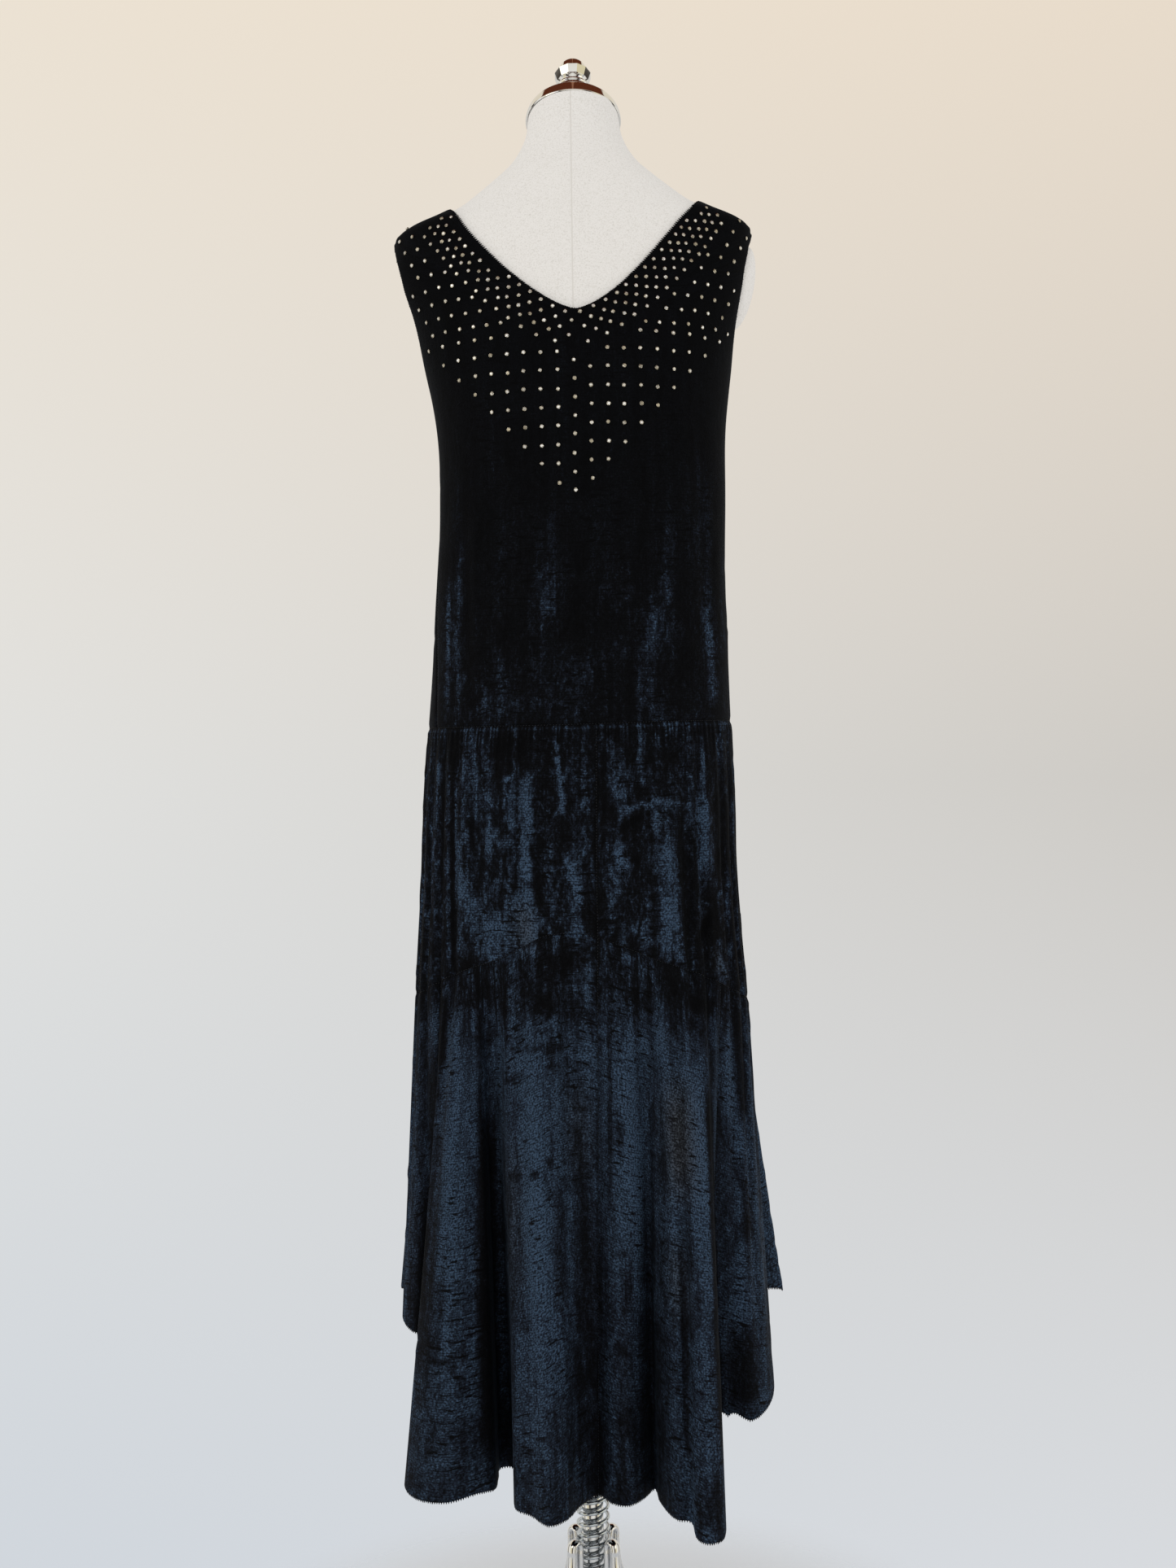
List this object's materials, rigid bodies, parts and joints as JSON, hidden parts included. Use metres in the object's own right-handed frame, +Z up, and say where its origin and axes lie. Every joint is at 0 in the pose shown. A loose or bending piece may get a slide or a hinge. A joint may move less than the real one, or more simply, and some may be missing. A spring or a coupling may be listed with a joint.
{
  "type": "sleeveless flapper dress on a limbless dress form with a stand",
  "caption": "Sleeveless drop-waisted velvet flapper dress with a V back, pleated hip tier and long handkerchief flounce, worn by a limbless canvas dress form on a sprung chrome stand.",
  "frame": {"origin": "on the floor, under the axis of the stand's post", "axes": "+Z up along the post; -Y out of the dress's back, the side with the V neckline in the picture; +X to the right of a viewer who looks at the back"},
  "size_m": [0.423, 0.409, 1.7657],
  "materials": {
    "bodice_velvet": "near-black velvet, crushed pile with a blue sheen",
    "skirt_velvet": "navy-black velvet, crushed pile with a steel-blue sheen",
    "canvas": "off-white jersey stretched over the form",
    "chrome": "bright plating",
    "spring_steel": "bright round wire"
  },
  "bodies": {
    "stand": {"hub": "chrome", "spring": "spring_steel", "leg_1": "chrome", "leg_2": "chrome", "leg_3": "chrome", "leg_4": "chrome", "foot_1": "chrome", "foot_2": "chrome", "foot_3": "chrome", "foot_4": "chrome"},
    "post": {"post": "chrome", "spring_collar": "chrome"},
    "form": {"form_torso": "canvas", "arm_plate_left": "canvas", "arm_plate_right": "canvas", "neck_cap": "chrome", "finial": "chrome", "bodice_back": "bodice_velvet", "bodice_front": "bodice_velvet", "hip_back_left": "skirt_velvet", "hip_back_right": "skirt_velvet", "hip_front": "skirt_velvet", "flounce_back_left": "skirt_velvet", "flounce_back_right": "skirt_velvet", "flounce_side_left": "skirt_velvet", "flounce_side_right": "skirt_velvet", "flounce_front": "skirt_velvet"}
  },
  "joints": [
    {"name": "height_slide", "type": "slide", "parent": "stand", "child": "post", "axis": [0, 0, 1], "range_m": [-0.08, 0], "deforming": ["spring"]},
    {"name": "swivel", "type": "hinge", "parent": "post", "child": "form", "pos_m": [0, 0, 0.84], "axis": [0, 0, 1], "continuous": true}
  ]
}
